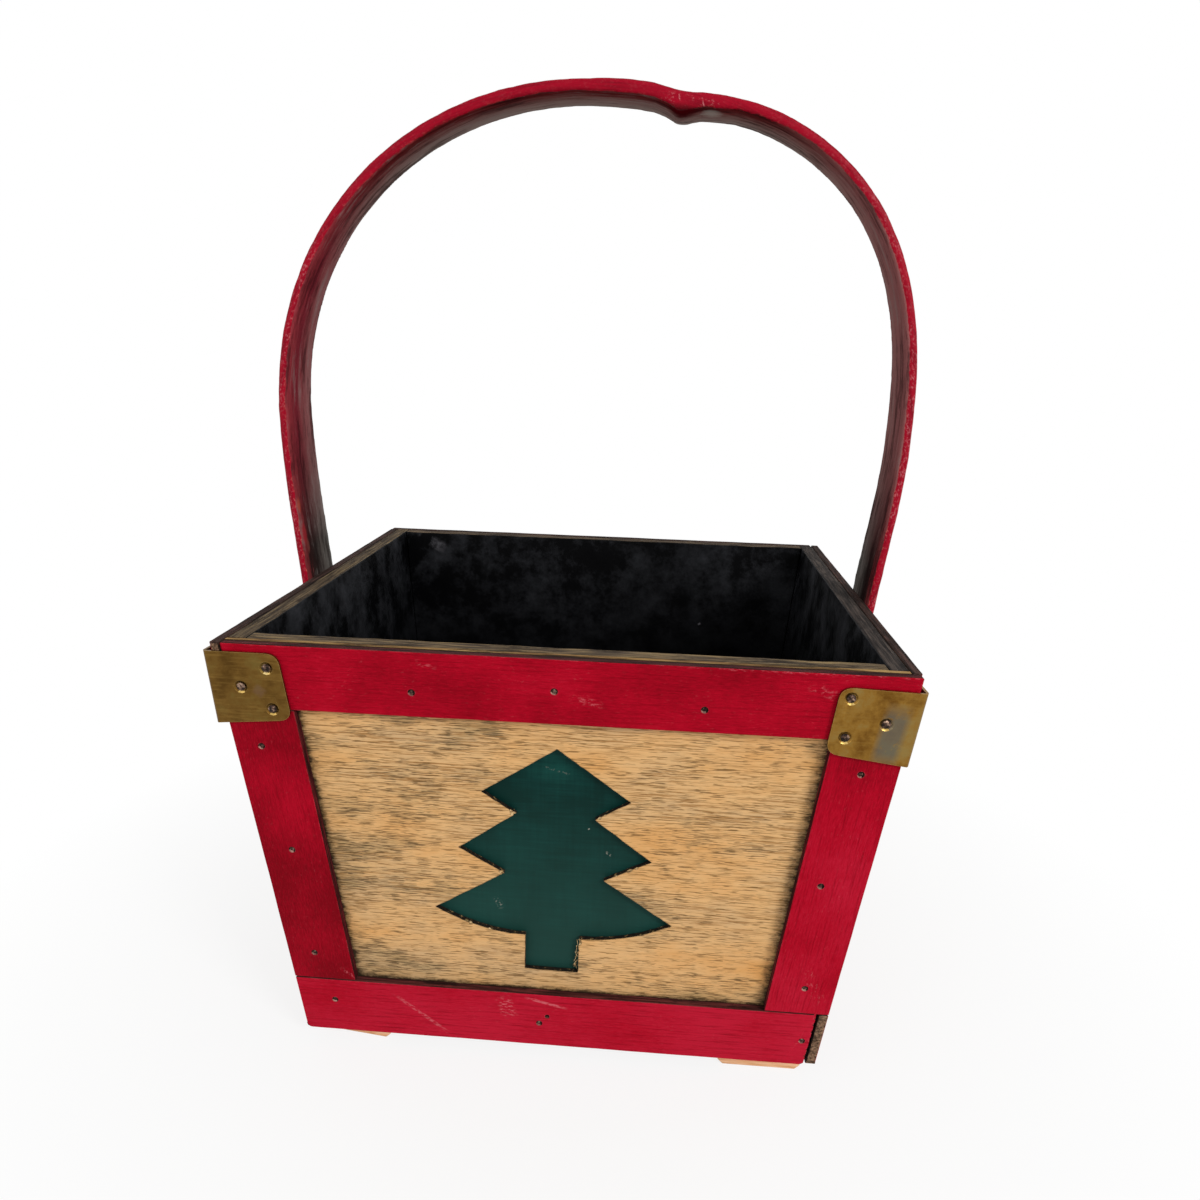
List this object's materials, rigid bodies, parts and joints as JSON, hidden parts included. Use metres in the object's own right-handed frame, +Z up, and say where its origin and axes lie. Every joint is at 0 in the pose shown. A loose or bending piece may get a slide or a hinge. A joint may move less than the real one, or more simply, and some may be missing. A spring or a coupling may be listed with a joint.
{
  "type": "planter box",
  "caption": "Wooden planter box with leaning framed walls, a sawn fir-tree front panel, brass corner caps, small feet and a fixed bentwood carrying handle.",
  "frame": {"origin": "on the ground under the middle of the box", "axes": "+Z up, the front with the tree faces -Y, +X to the right seen from the front"},
  "size_m": [0.2334, 0.1922, 0.336],
  "materials": {
    "red_painted_strip": "worn satin red paint over fine grain",
    "red_painted_bentwood": "worn satin red paint, dark inner face",
    "natural_ply": "matte, stained grain flecks",
    "green_painted_board": "satin green paint on the front, black inside",
    "stained_board": "matte natural outside, black inside",
    "black_painted_board": "matte black paint",
    "aged_brass": "tarnished satin",
    "brass_pin": "dark tarnished",
    "dull_steel": "dull",
    "raw_wood": "raw sawn"
  },
  "bodies": {
    "root": {"base_board": "black_painted_board", "front_board": "green_painted_board", "right_board": "stained_board", "back_board": "stained_board", "left_board": "stained_board", "front_face_ply": "natural_ply", "front_top_rail": "red_painted_strip", "front_bottom_rail": "red_painted_strip", "front_left_stile": "red_painted_strip", "front_right_stile": "red_painted_strip", "right_top_rail": "red_painted_strip", "right_bottom_rail": "red_painted_strip", "right_left_stile": "red_painted_strip", "right_right_stile": "red_painted_strip", "back_top_rail": "red_painted_strip", "back_bottom_rail": "red_painted_strip", "back_left_stile": "red_painted_strip", "back_right_stile": "red_painted_strip", "left_top_rail": "red_painted_strip", "left_bottom_rail": "red_painted_strip", "left_left_stile": "red_painted_strip", "left_right_stile": "red_painted_strip", "handle": "red_painted_bentwood", "handle_nail_left_top": "dull_steel", "handle_nail_left_bottom": "dull_steel", "handle_nail_right_top": "dull_steel", "handle_nail_right_bottom": "dull_steel", "foot_front_left": "raw_wood", "foot_front_right": "raw_wood", "foot_back_left": "raw_wood", "foot_back_right": "raw_wood", "brass_corner_front_left": "aged_brass", "brass_corner_front_right": "aged_brass", "brass_corner_back_left": "aged_brass", "brass_corner_back_right": "aged_brass", "pin_front_left_on_front_1": "brass_pin", "pin_front_left_on_front_2": "brass_pin", "pin_front_left_on_front_3": "brass_pin", "pin_front_left_on_left_1": "brass_pin", "pin_front_left_on_left_2": "brass_pin", "pin_front_left_on_left_3": "brass_pin", "pin_front_right_on_front_1": "brass_pin", "pin_front_right_on_front_2": "brass_pin", "pin_front_right_on_front_3": "brass_pin", "pin_front_right_on_right_1": "brass_pin", "pin_front_right_on_right_2": "brass_pin", "pin_front_right_on_right_3": "brass_pin", "pin_back_right_on_right_1": "brass_pin", "pin_back_right_on_right_2": "brass_pin", "pin_back_right_on_right_3": "brass_pin", "pin_back_right_on_back_1": "brass_pin", "pin_back_right_on_back_2": "brass_pin", "pin_back_right_on_back_3": "brass_pin", "pin_back_left_on_back_1": "brass_pin", "pin_back_left_on_back_2": "brass_pin", "pin_back_left_on_back_3": "brass_pin", "pin_back_left_on_left_1": "brass_pin", "pin_back_left_on_left_2": "brass_pin", "pin_back_left_on_left_3": "brass_pin"}
  },
  "joints": []
}
